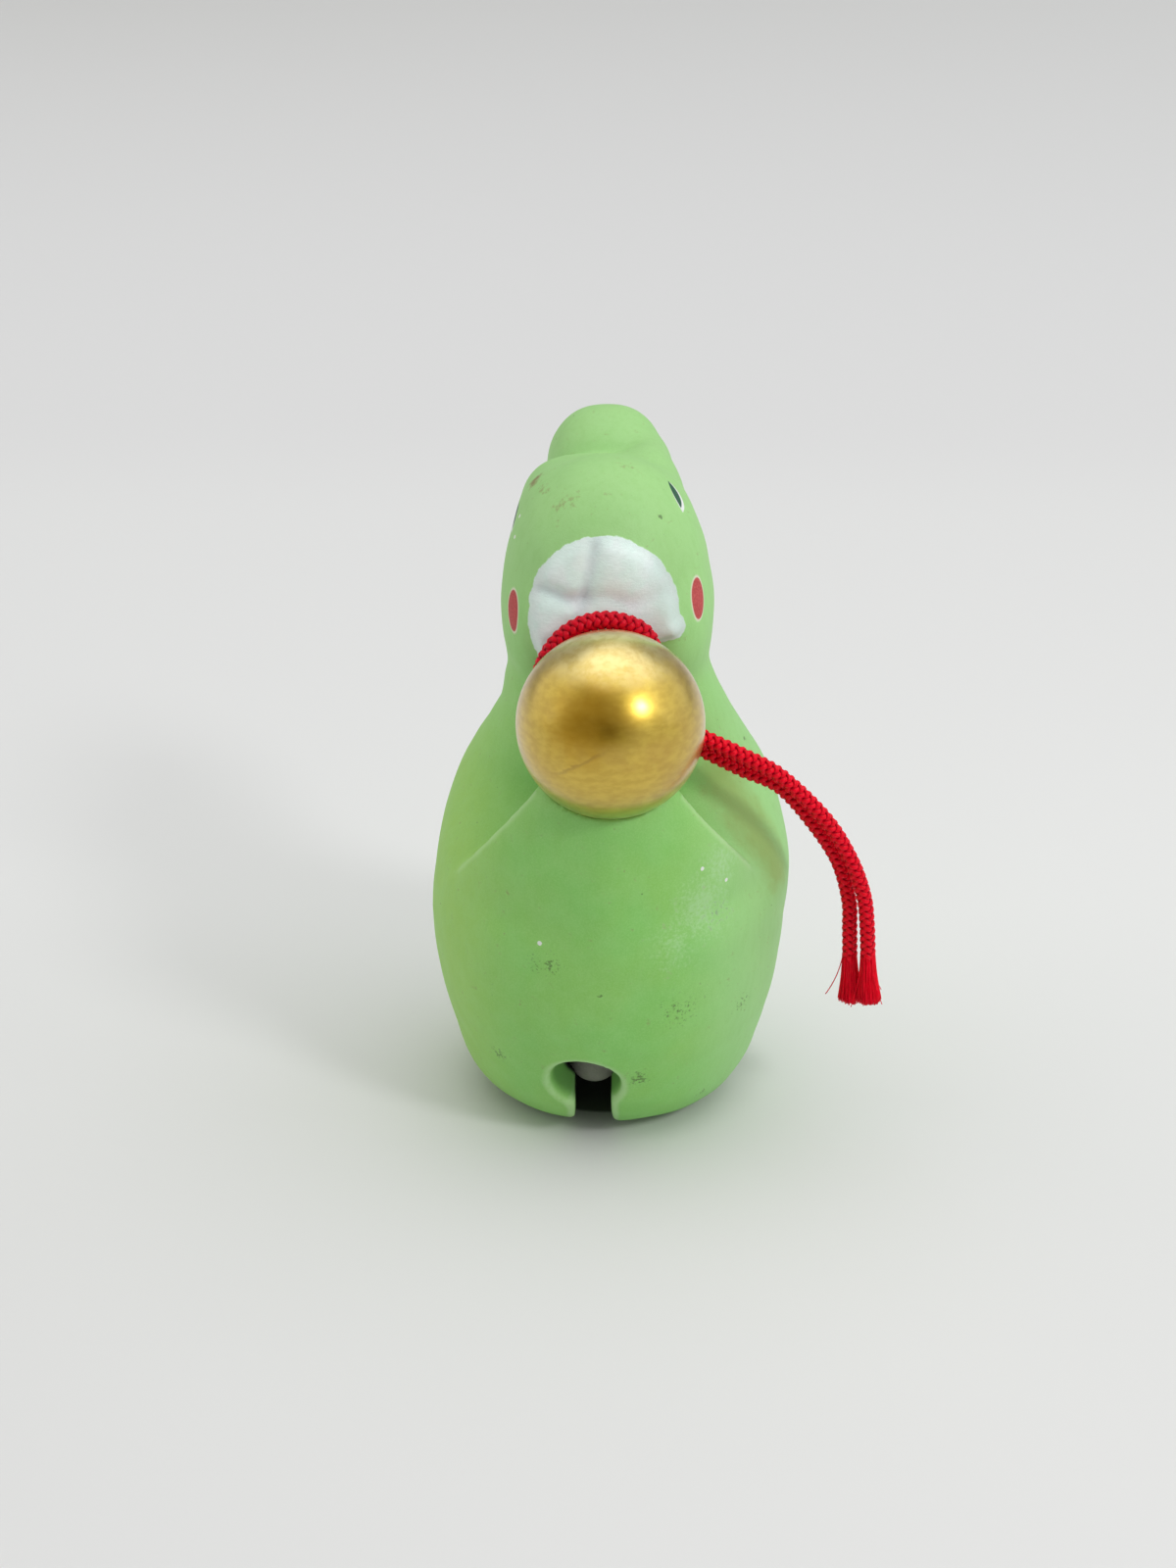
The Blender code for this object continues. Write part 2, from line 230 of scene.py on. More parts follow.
def addPiece(name, skin, finish, body, slot, *nodes):
    points, faces, *marks = skin
    corners = [face for group in faces for face in group.tolist()]
    piece = addMesh(name, ((points + axisShift) * mm).tolist(), corners, finish)
    piece.data.shade_smooth()
    for mark in marks:
        kept = piece.data.attributes.new("marks", "FLOAT_VECTOR", "POINT")
        kept.data.foreach_set("vector", mark.ravel())
    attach(piece, body)
    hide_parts(*nodes)
    print(name, len(points), "points")
    return piece


# Red braided cord: a loop round the joint of ball and nape, a knot beside the ball and two frayed ends
cordForm = {
    "diameter": 1.9, "strandsEachWay": 3, "turnLength": 2.9, "midRadius": 0.55, "swing": 0.20,
    "strandHalfWidth": 0.38, "strandHalfThickness": 0.28, "step": 0.12, "sides": 8,
    "loopRadius": 7.9, "loopRise": 2.2, "loopShift": (-0.53, -1.2, -0.12), "loopThickening": 1.12,
    "loopTuck": 1.4, "tuckBearings": (35.0, 68.0), "forwardRise": (0.2, 0.7), "loopHalfOpening": 16.0,
    "knotScale": 0.52, "knotDepth": 1.1, "knotThinning": 0.85, "knotSteps": 260, "tiedShade": 0.74,
    "leadTurns": 2 / 3, "leadSteps": 16,
    "tuftLength": 6.0, "tuftNeck": 0.45, "tuftFlare": 1.45, "tuftCurve": 1.4, "tuftFill": 0.3,
    "startSpread": 0.8, "endSpread": 0.5, "twistSpread": 0.25, "reachSpread": 0.06,
    "fibres": 320, "fibreRadius": 0.065, "fibreSides": 4, "fibreSteps": 9, "strays": 3, "strayReach": 2.2,
    "coreShare": 0.88, "coreSides": 10, "coreClosing": (0.98, 12), "seed": 7,
    # routes of the two ends from the middle of the knot, within 0.6 mm of the solids' own
    "upperRoute": (
        (2.4, -1.2, -0.9), (7.7, -1.7, -3.3), (12.1, -1.7, -5.9), (17.5, -1.7, -11.4),
        (20.7, -1.7, -16.6), (22.5, -1.7, -21.4), (23.1, -1.7, -25.4), (23.4, -1.7, -29.4),
        (23.6, -1.7, -32.8), (23.9, -1.7, -36.0)),
    "lowerRoute": (
        (1.8, -0.1, -2.6), (7.5, -0.1, -5.6), (12.05, -0.1, -7.8), (16.0, -0.1, -12.3),
        (19.3, -0.1, -17.5), (20.9, -0.1, -22.8), (21.2, -0.1, -26.8), (21.4, -0.1, -30.8),
        (21.6, -0.1, -34.0), (21.7, -0.1, -36.8)),
}


def runLength(path):
    return np.concatenate([[0.0], np.cumsum(np.linalg.norm(np.diff(path, axis=0), axis=1))])


def smoothRun(route, step, densePerPoint=60):
    # cubic pieces through the route's points, each with the mean slope of its neighbours, in even steps
    route = np.array(route)
    slope = np.gradient(route, axis=0)
    place = np.linspace(0.0, len(route) - 1.0, densePerPoint * len(route))
    first = np.minimum(place.astype(int), len(route) - 2)
    t = (place - first)[:, None]
    dense = ((2 * t ** 3 - 3 * t ** 2 + 1) * route[first] + (t ** 3 - 2 * t ** 2 + t) * slope[first]
             + (3 * t ** 2 - 2 * t ** 3) * route[first + 1] + (t ** 3 - t ** 2) * slope[first + 1])
    run = runLength(dense)
    even = np.linspace(0.0, run[-1], int(run[-1] / step) + 1)
    return np.stack([np.interp(even, run, dense[:, axis]) for axis in range(3)], axis=1)


def pathFrame(path):
    # two directions square to the path, the first as near the Y axis as can be
    along = unit(np.gradient(path, axis=0))
    first = unit(np.array([0.0, 1.0, 0.0]) - along[:, 1:2] * along)
    return first, np.cross(along, first)


def tubeRings(centre, outward, halfWidth, halfThickness, sides):
    # ellipse carried along each line: half width across the line, half thickness outward
    along = unit(np.gradient(centre, axis=1))
    across = unit(np.cross(outward, along))
    lift = np.cross(along, across)
    rim = (np.arange(sides) * 2 * np.pi / sides)[:, None]
    return (centre[:, :, None] + halfWidth * np.cos(rim) * across[:, :, None]
            + halfThickness * np.sin(rim) * lift[:, :, None])


def tubeSkin(rings):
    # quads between neighbouring rings, and a cap at each end of every tube
    tubes, steps, sides = rings.shape[:3]
    index = np.arange(tubes * steps * sides).reshape(tubes, steps, sides)
    after = np.roll(index, -1, axis=2)
    quads = np.stack([index[:, :-1], after[:, :-1], after[:, 1:], index[:, 1:]], axis=-1).reshape(-1, 4)
    caps = np.concatenate([index[:, 0, ::-1], index[:, -1]])
    return rings.reshape(-1, 3), [quads, caps]


def strandMarks(shape, run, edge=1.0, numberStep=7.3):
    # for the finish: length along the strand, place across it, and the strand's own number
    tubes, _, sides = shape[:3]
    across = edge * np.cos(np.arange(sides) * 2 * np.pi / sides)
    number = np.arange(tubes)[:, None, None] * numberStep
    return np.stack(np.broadcast_arrays(run[None, :, None], across, number), axis=-1).reshape(-1, 3)


def braid(form, path, frameLines, thinning=1.0):
    # strands wind both ways round the path, and those of one way swing out where the others swing in
    each = form["strandsEachWay"]
    run = runLength(path)
    wound = 2 * np.pi * run / form["turnLength"]
    way = np.repeat([1.0, -1.0], each)[:, None]
    turn = way * wound + np.tile(np.arange(each), 2)[:, None] * 2 * np.pi / each
    reach = form["midRadius"] + way * form["swing"] * np.cos(each * wound)
    outward = np.cos(turn)[..., None] * frameLines[0] + np.sin(turn)[..., None] * frameLines[1]
    centre = path + thinning * reach[..., None] * outward
    halfWidth, halfThickness = thinning * form["strandHalfWidth"], thinning * form["strandHalfThickness"]
    rings = tubeRings(centre, outward, halfWidth, halfThickness, form["sides"])
    return (*tubeSkin(rings), strandMarks(rings.shape, run))


def tuft(form, path, frameLines, chance):
    # fibres fan out from the end of the braid: each keeps its bearing and its share of the radius
    steps = np.linspace(0.0, 1.0, form["fibreSteps"])
    run = runLength(path)
    each = (form["fibres"], 1)
    start = run[-1] - form["tuftLength"] - chance.uniform(0.0, form["startSpread"], each)
    stop = run[-1] - chance.uniform(0.0, form["endSpread"], each) ** 2
    place = start + (stop - start) * steps
    centre = np.stack([np.interp(place, run, path[:, axis]) for axis in range(3)], axis=-1)
    share = chance.uniform(0.0, 1.0, each) ** form["tuftFill"]
    bearing = chance.uniform(0.0, 2 * np.pi, each) + chance.normal(0.0, form["twistSpread"], each) * steps
    narrow = form["tuftNeck"] * form["diameter"]
    fan = narrow + (form["tuftFlare"] - narrow) * steps ** form["tuftCurve"]
    reach = share * fan * chance.normal(1.0, form["reachSpread"], each)
    reach[:form["strays"]] *= 1.0 + (form["strayReach"] - 1.0) * steps
    outward = np.cos(bearing)[..., None] * frameLines[0][-1] + np.sin(bearing)[..., None] * frameLines[1][-1]
    radius = form["fibreRadius"]
    rings = tubeRings(centre + reach[..., None] * outward, outward, radius, radius, form["fibreSides"])
    # a core fills the fan and all but closes at its end
    core = tubeRings(centre[:1], outward[:1], 1.0, 1.0, form["coreSides"])
    closing, sharpness = form["coreClosing"]
    widths = form["coreShare"] * fan * (1.0 - steps ** sharpness * closing)
    core = centre[:1, :, None] + (core - centre[:1, :, None]) * widths[None, :, None, None]
    along = steps * form["tuftLength"]
    return [(*tubeSkin(item), strandMarks(item.shape, along, 0.0)) for item in (rings, core)]


def joined(parts):
    points, faces, marks = zip(*parts)
    firsts = np.cumsum([0] + [len(group) for group in points])
    faces = [group + first for first, groups in zip(firsts, faces) for group in groups]
    return np.concatenate(points), faces, np.concatenate(marks)


def crimsonBraid(name, bright):
    finish = Finish(name)
    _, across, _ = finish.marks()
    yarn = finish.noise(1.0, 3.0, finish.stretched((1.2, 6.0, 1.0), finish.mark))
    paintedDark = finish.mix(yarn.between(0.3, 0.7), (0.80 * bright, 0.0, 0.010), (bright, 0.0, 0.024))
    # painted shade: each strand darker at its edges, where the strands shade one another
    paintedDark = finish.mix(across.size().between(0.45, 1.0) * 0.75, paintedDark, (0.17 * bright, 0.0, 0.006))
    finish.set(Base_Color=paintedDark, Roughness=finish.blend(yarn, 0.40, 0.26), Specular_IOR_Level=0.15,
               Sheen_Weight=bright, Sheen_Roughness=0.45, Sheen_Tint=(1.0, 0.0, 0.04))
    finish.bump(yarn, 0.55, 0.06)
    return finish


def loopPath(form):
    loopBack = (loopLow.y + loopHigh.y) / 2 / mm - axisShift[1]
    loopMiddle = np.array([ballCentre[0], loopBack, ballCentre[2]]) + form["loopShift"]
    aside = knotCentre - loopMiddle
    gap = math.radians(form["loopHalfOpening"])
    count = int(2 * np.pi * form["loopRadius"] / form["step"])
    bearing = math.atan2(aside[2], aside[0]) + np.linspace(gap, 2 * np.pi - gap, count)
    # the loop rises to its top, and is drawn in and forward where it dips behind the ball
    lift = np.sin(bearing)
    tuck = 1.0 - smoothStep(np.degrees(bearing), *form["tuckBearings"])
    radius = form["loopRadius"] + form["loopRise"] * np.maximum(lift, 0.0) ** 2 - form["loopTuck"] * tuck
    forward = -form["loopShift"][1] * (1.0 - smoothStep(lift, *form["forwardRise"]))
    return loopMiddle + np.stack([radius * np.cos(bearing), forward, radius * lift], axis=1)


def tieCord(form):
    # the loop and the knot take a darker copy of the braid's finish: painted shade, where they lie in shade
    # at the nape
    tied, free = crimsonBraid("shaded_braid", form["tiedShade"]), crimsonBraid("crimson_braid", 1.0)
    loop = loopPath(form)
    skin = braid(form, loop, pathFrame(loop), form["loopThickening"])
    addPiece("cord_loop_braid", skin, tied, "figure", "red_cord", "cord_loop")

    # three-lobed knot: sines and cosines of one, two and three turns
    t = np.linspace(0.0, 2 * np.pi, form["knotSteps"])
    depth = -form["knotDepth"] * np.sin(3 * t)
    lobes = [np.sin(t) + 2 * np.sin(2 * t), depth, np.cos(t) - 2 * np.cos(2 * t)]
    knot = knotCentre + form["knotScale"] * np.stack(lobes, axis=1)
    skin = braid(form, knot, pathFrame(knot), form["knotThinning"])
    addPiece("cord_knot_wraps", skin, tied, "figure", "red_cord", "cord_knot")

    chance = np.random.default_rng(form["seed"])
    for node, route in (("cord_end_upper", form["upperRoute"]), ("cord_end_lower", form["lowerRoute"])):
        path = knotCentre + smoothRun(route, form["step"])
        # part of a turn of the braid runs back into the knot, so that no gap opens when the ends swing
        lead = np.linspace(form["turnLength"] * form["leadTurns"], 0.0, form["leadSteps"], endpoint=False)
        path = np.concatenate([path[0] - lead[:, None] * unit(path[1] - path[0]), path])
        lines = pathFrame(path)
        length = runLength(path)
        held = length <= length[-1] - form["tuftLength"]
        parts = [braid(form, path[held], [line[held] for line in lines])] + tuft(form, path, lines, chance)
        piece = addPiece(node + "_braid", joined(parts), free, "cord_ends", "red_cord", node)


tieCord(cordForm)
print("cord tied")


# Clay body: the solids' own levels and reaches (half width, back, front) for trunk, tail and chamber,
# with the head, the tail's ridges and the holes nearer the photograph
clayForm = {
    "foot": (12.5, 10.0, 11.5), "belly": (22.05, 25.0, 22.0), "neck": (12.45, 10.0, 11.5),
    "bellyHeight": 28.0, "neckHeights": (58.0, 45.0, 58.0), "shoulderFullness": 1.3,
    "tailRoot": 20.0, "tailBend": 26.0, "tailTop": 52.0, "tailTip": (6.2, 4.4), "tailBulge": 1.2,
    "tailTaper": 1.25, "tailGroove": 0.85, "tailMelt": 0.6, "tailEdge": 0.58, "tailEdgeReach": 16.0,
    "tailSink": 0.7, "tailSinkReach": 10.0,
    # lumps of the head: centre, half sizes, tilt, squareness (2 is an ellipsoid) and how softly each melts
    "lumps": (
        ((-0.3, 1.0, 68.0), (12.25, 11.2, 14.6), 0.0, 2.0, 2.5),
        ((-0.85, 6.0, 72.25), (10.2, 8.0, 8.5), 0.0, 3.0, 2.0),
        ((-0.55, 19.5, 74.4), (7.5, 8.0, 9.1), 28.0, 2.3, 0.8),
        ((4.6, 12.0, 76.3), (3.1, 7.0, 4.9), 0.0, 2.2, 2.4),
        ((0.0, 12.5, 66.8), (7.6, 10.5, 7.2), 0.0, 2.0, 3.0),
        ((-7.2, 0.6, 63.4), (5.6, 9.8, 8.3), 0.0, 2.2, 1.6),
        ((6.8, 0.6, 63.4), (5.6, 9.8, 8.3), 0.0, 2.2, 1.6)),
    "neckTop": 66.0, "neckShrink": 3.2, "neckFade": 3.0, "lean": 0.6, "leanHeights": (24.0, 34.0, 51.5, 56.5),
    "lowerHollow": 0.4, "hollowHeight": 11.0, "hollowReach": 5.0,
    "wall": 4.0, "floor": 4.5, "floorInset": 1.0, "chamberTop": 50.0, "chamberDome": 15.0, "domeEnd": 0.995,
    "slitWidth": 4.4, "slitOffset": -1.6, "holeHeight": 10.2, "holeRadius": 4.75, "holeDepth": 5.6,
    "holeTilt": 25.0, "holeShift": -1.0, "holeBowl": 0.75, "lipSoftness": 0.75, "chamberSoftness": 0.6,
    "flare": 0.9, "flareShift": 0.45, "flareHeight": 1.2, "footSoftness": 0.8,
    "seatGap": -0.15, "seatSoftness": 0.2, "seatFade": (0.6, 1.6),
    "low": (-24.0, -28.0, -1.5), "high": (24.0, 29.5, 86.0), "voxel": 0.5, "unevenness": 0.10,
}

# Mane: one rounded patch on the back of the head, with a crease down it and a fold that is deeper on the left
maneForm = {
    "middle": (-0.6, 66.5), "half": (8.8, 9.7), "bottom": 61.9, "bottomSlope": 0.28,
    "lobe": (7.3, 65.4, 1.6),  # across, up and its radius
    "proud": 0.6, "proudLow": 1.1, "lowHeights": (62.5, 71.5), "edge": 1.4, "backReach": (1.0, 3.0),
    "dipWidth": 0.9, "creaseDepth": 0.9, "creaseHeights": (63.0, 67.0),
    "creaseLine": (-2.9, 69.5, 0.22),  # across at a height, and its slant
    "foldDepth": 0.95, "foldHeight": 69.2, "foldSide": (1.0, 3.0), "foldRest": 0.35,
    "foldWave": (0.35, 0.9, 2.0),  # height, rate across and start of its wave
}
tiny = 1e-6  # keeps roots and divisions clear of zero


def maneDistance(form, x, z, most, least):
    # outside an ellipse or below a slanting line, and outside a small round lobe
    outX, outZ = (x - form["middle"][0]) / form["half"][0], (z - form["middle"][1]) / form["half"][1]
    patch = ((outX * outX + outZ * outZ) ** 0.5 - 1.0) * form["half"][0]
    patch = most(patch, form["bottom"] + x * form["bottomSlope"] - z)
    lobeX, lobeZ = x - form["lobe"][0], z - form["lobe"][1]
    return least(patch, (lobeX * lobeX + lobeZ * lobeZ) ** 0.5 - form["lobe"][2])


def creaseGap(form, x, z):  # how far to the right of the crease's slanting line
    across, height, slant = form["creaseLine"]
    return x - across - (z - height) * slant


def foldGap(form, x, z, sine):  # how far above the fold's wavy line
    height, rate, start = form["foldWave"]
    return z - form["foldHeight"] - sine(x * rate + start) * height


def quarterRound(z, low, lowZ, high, highZ):  # quarter of an ellipse, level at low and upright at high
    share = np.clip((z - lowZ) / (highZ - lowZ), 0.0, 1.0)
    return low + (high - low) * np.sqrt(1.0 - (1.0 - share) ** 2)


def halfWave(z, low, lowZ, high, highZ, fullness):  # half a cosine wave from low to high
    share = np.clip((z - lowZ) / (highZ - lowZ), 0.0, 1.0)
    return high + (low - high) * 0.5 * (1.0 + np.cos(np.pi * share ** fullness))


def bodySides(form, z, wall=0.0, floorInset=0.0, floor=0.0):
    hollow = form["lowerHollow"] * np.exp(-((z - form["hollowHeight"]) / form["hollowReach"]) ** 2)
    fade = form["neckHeights"][0] - form["neckFade"]
    inHead = smoothStep(z, fade, form["neckTop"]) * form["neckShrink"]
    middle, fullness = form["bellyHeight"], form["shoulderFullness"]
    sides = []
    for foot, belly, neck, top in zip(form["foot"], form["belly"], form["neck"], form["neckHeights"]):
        lower = quarterRound(z, foot - floorInset, floor, belly - wall, middle) - hollow
        upper = halfWave(z, belly - wall, middle, neck - wall, top, fullness)
        sides.append(np.where(z < middle, lower, upper) - inHead)
    return sides[0], -sides[1], sides[2]


def tailSides(form, z):
    width, back, front = (float(side) for side in bodySides(form, np.float64(form["tailRoot"])))
    root, top = form["tailRoot"], form["tailTop"]
    taper = np.clip((z - form["tailBend"]) / (top - form["tailBend"]), 0.0, 1.0)
    rise = np.clip((z - root) / (top - root), 0.0, 1.0)
    tipWidth, tipDepth = form["tailTip"]
    width = width + (tipWidth - width) * taper ** form["tailTaper"]
    back = back + (ballCentre[1] - tipDepth - back) * rise - form["tailBulge"] * np.sin(np.pi * rise)
    front = halfWave(z, front, root, ballCentre[1] + tipDepth, top, form["tailGroove"])
    return width, back, front


def evenField(field, step, leastSlope=0.4):  # divided by its slope, so that it counts millimetres
    slope = np.sqrt(sum(part ** 2 for part in np.gradient(field, step)))
    return field / np.maximum(slope, leastSlope)


def loftField(x, y, sides, step, power=2.0, softness=0.02):
    # level rounds: shares of half width and half depth to a power, less one.
    # Power 2 is an ellipse, less is a lens, whose middle line is softened
    width, back, front = sides
    middle, half = (back + front) / 2, (front - back) / 2
    across = ((x / width) ** 2 + softness) ** (power / 2) - softness ** (power / 2)
    share = (across + np.abs((y - middle) / half) ** power + tiny) ** (1.0 / power)
    return evenField((share - 1.0) * np.minimum(width, half), step)


def lumpField(x, y, z, centre, half, tilt=0.0, power=2.0):
    # near distance to a squarish ellipsoid tipped up at the front:
    # the sum of the shares to a power, less one, over its slope
    turn = math.radians(tilt)
    dx, dy, dz = x - centre[0], y - centre[1], z - centre[2]
    dy, dz = math.cos(turn) * dy + math.sin(turn) * dz, math.cos(turn) * dz - math.sin(turn) * dy
    shares = [np.abs(d) / h for d, h in zip((dx, dy, dz), half)]
    near = np.maximum(sum(share ** power for share in shares), tiny) ** (1.0 / power)
    steep = np.sqrt(sum((share ** (power - 1.0) / h) ** 2 for share, h in zip(shares, half)))
    return (near - 1.0) * near ** (power - 1.0) / np.maximum(steep, tiny)


def melt(first, second, softness):  # smooth union
    share = np.clip(0.5 + 0.5 * (second - first) / softness, 0.0, 1.0)
    return second + (first - second) * share - softness * share * (1.0 - share)


def carve(field, cutter, softness):  # smooth difference
    return -melt(-field, cutter, softness)


def maneRelief(form, x, y, z):
    # rises from the patch's edge inward, and the crease and the fold are narrow dips in it
    inward = -maneDistance(form, x, z, np.maximum, np.minimum)
    height = smoothStep(inward, 0.0, form["edge"]) * smoothStep(-y, *form["backReach"])
    crease = np.exp(-(creaseGap(form, x, z) / form["dipWidth"]) ** 2) * smoothStep(z, *form["creaseHeights"])
    fold = np.exp(-(foldGap(form, x, z, np.sin) / form["dipWidth"]) ** 2)
    fold = fold * (form["foldRest"] + (1.0 - form["foldRest"]) * smoothStep(-x, *form["foldSide"]))
    swell = 0.25 * np.sin(0.55 * x + 0.4) * np.sin(0.45 * z)
    low = form["proudLow"] * (1.0 - smoothStep(z, *form["lowHeights"]))
    return height * (form["proud"] + low + swell - form["creaseDepth"] * crease - form["foldDepth"] * fold)


def holeField(form, x, y, z, end):  # round hole that closes like a bowl from its mouth to the slit's width
    mouth = bodySides(form, np.float64(form["holeHeight"]))[2 if end > 0 else 1]
    tilt = math.radians(form["holeTilt"])
    inward = unit(np.array([-form["holeShift"] / form["holeDepth"], -end * math.cos(tilt), math.sin(tilt)]))
    dx, dy, dz = x - form["slitOffset"] - form["holeShift"], y - mouth, z - form["holeHeight"]
    depth = dx * inward[0] + dy * inward[1] + dz * inward[2]
    across = np.sqrt(np.maximum(dx ** 2 + dy ** 2 + dz ** 2 - depth ** 2, 0.0))
    share = np.clip(1.0 - depth / form["holeDepth"], 0.0, 1.0)
    halfSlit = form["slitWidth"] / 2
    radius = halfSlit + (form["holeRadius"] - halfSlit) * share ** form["holeBowl"]
    return np.maximum(across - radius, depth - form["holeDepth"])


def openingField(form, x, y, z):  # slit whose lips spread towards the foot, and a hole at each end of it
    slitTop = form["holeHeight"] + form["holeDepth"] * math.sin(math.radians(form["holeTilt"]))
    drop = np.exp(-np.maximum(z, 0.0) / form["flareHeight"])
    across = np.abs(x - form["slitOffset"] - form["flareShift"] * drop)
    slit = across - form["slitWidth"] / 2 - form["flare"] * drop
    slit = np.maximum(slit, z - slitTop)
    return np.minimum(slit, np.minimum(holeField(form, x, y, z, -1), holeField(form, x, y, z, 1)))


def chamberField(form, x, y, z, level):  # the body's outline drawn in by the wall, with a domed top
    top, dome = form["chamberTop"], form["chamberDome"]
    width, back, front = bodySides(form, level, form["wall"], form["floorInset"], form["floor"])
    rise = np.clip((level - top + dome) / dome, 0.0, form["domeEnd"])
    shrink = np.sqrt(1.0 - rise ** 2)
    middle, half = (back + front) / 2, (front - back) / 2
    sides = (width * shrink, middle - half * shrink, middle + half * shrink)
    return np.maximum(np.maximum(loftField(x, y, sides, form["voxel"]), form["floor"] - z), z - top)


def clayField(form):
    step = form["voxel"]
    axes = [np.arange(low, high + step / 2, step) for low, high in zip(form["low"], form["high"])]
    x, y, z = np.meshgrid(*axes, indexing="ij")
    level = axes[2][None, None, :]
    lean = form["lean"] * smoothStep(level, *form["leanHeights"][:2])
    lean = lean * (1.0 - smoothStep(level, *form["leanHeights"][2:]))
    clay = np.maximum(loftField(x - lean, y, bodySides(form, level), step), z - form["neckTop"])
    root = form["tailRoot"]
    edge = 2.0 - form["tailEdge"] * smoothStep(level, root, root + form["tailEdgeReach"])
    tail = np.maximum(loftField(x, y, tailSides(form, level), step, edge), z - form["tailTop"])
    sunk = form["tailSink"] * (1.0 - smoothStep(z, root, root + form["tailSinkReach"]))
    clay = melt(clay, np.maximum(tail + sunk, root - z), form["tailMelt"])
    for centre, half, tilt, power, softness in form["lumps"]:
        clay = melt(clay, lumpField(x, y, z, centre, half, tilt, power), softness)
    clay = clay - maneRelief(maneForm, x, y, z)
    # hand-pressed surface: a long and a short wave
    long = np.sin(0.31 * x + 1.0) * np.sin(0.27 * y + 0.5) * np.sin(0.23 * z)
    short = np.sin(0.7 * x + 0.6 * z) * np.sin(0.66 * y - 0.5 * z + 2.0)
    clay = clay + form["unevenness"] * (long + 0.5 * short)
    seat = lumpField(x, y, z, ballCentre, (ballRadius + form["seatGap"],) * 3)
    outside = carve(clay, seat, form["seatSoftness"])
    chamber = chamberField(form, x, y, z, level)
    clay = carve(outside, chamber, form["chamberSoftness"])
    clay = carve(clay, openingField(form, x, y, z), form["lipSoftness"])
    return -melt(-clay, z, form["footSoftness"]), chamber, outside


def netSkin(field, low, step):
    # surface net: one point in each cell that the surface crosses, at the mean of its edge crossings
    cells = np.array(field.shape) - 1
    total, count = np.zeros((*cells, 3)), np.zeros(cells)
    crossings = []
    for axis in range(3):
        near = np.moveaxis(field, axis, 0)[:-1]
        far = np.moveaxis(field, axis, 0)[1:]
        crossed = (near < 0) != (far < 0)
        share = np.where(crossed, near / np.where(crossed, near - far, 1.0), 0.0)
        crossings.append((crossed, near < 0))
        one, other = [a for a in range(3) if a != axis]
        for first, second in np.ndindex(2, 2):
            part = (slice(None), slice(first, first + cells[one]), slice(second, second + cells[other]))
            hit = np.moveaxis(crossed[part], 0, axis)
            total[..., axis] += np.moveaxis(share[part], 0, axis)
            total[..., one] += hit * first
            total[..., other] += hit * second
            count += hit
    active = count > 0
    number = np.full(cells, -1)
    number[active] = np.arange(active.sum())
    points = np.argwhere(active) + total[active] / count[active][:, None]
    faces = []
    for axis, (crossed, starts) in enumerate(crossings):
        ids = np.moveaxis(number, axis, 0)
        inner = (slice(None), slice(1, -1), slice(1, -1))
        hit, start = crossed[inner], starts[inner]
        corners = (ids[:, :-1, :-1], ids[:, 1:, :-1], ids[:, 1:, 1:], ids[:, :-1, 1:])
        quad = np.stack([corner[hit] for corner in corners], axis=1)
        flip = ~start[hit] if axis != 1 else start[hit]
        quad[flip] = quad[flip][:, ::-1]
        faces.append(quad)
    return np.array(low) + points * step, faces


def sampled(grid, place):  # straight-line reading between the eight corners of a cell
    first = np.minimum(place.astype(int), np.array(grid.shape) - 2)
    share = place - first
    value = 0.0
    for corner in np.ndindex(2, 2, 2):
        weight = np.prod(np.where(corner, share, 1.0 - share), axis=1)
        value = value + weight * grid[tuple((first + corner).T)]
    return value


def settled(field, points, low, step, rounds=3, reach=0.4, leastSlope=0.1):
    # moved along the slope until they lie on the surface
    slopes = np.gradient(field, step)
    for _ in range(rounds):
        place = (points - np.array(low)) / step
        slope = np.stack([sampled(part, place) for part in slopes], axis=1)
        steep = np.maximum((slope ** 2).sum(1, keepdims=True), leastSlope)
        move = -sampled(field, place)[:, None] * slope / steep
        points = points + np.clip(move, -reach * step, reach * step)
    return points


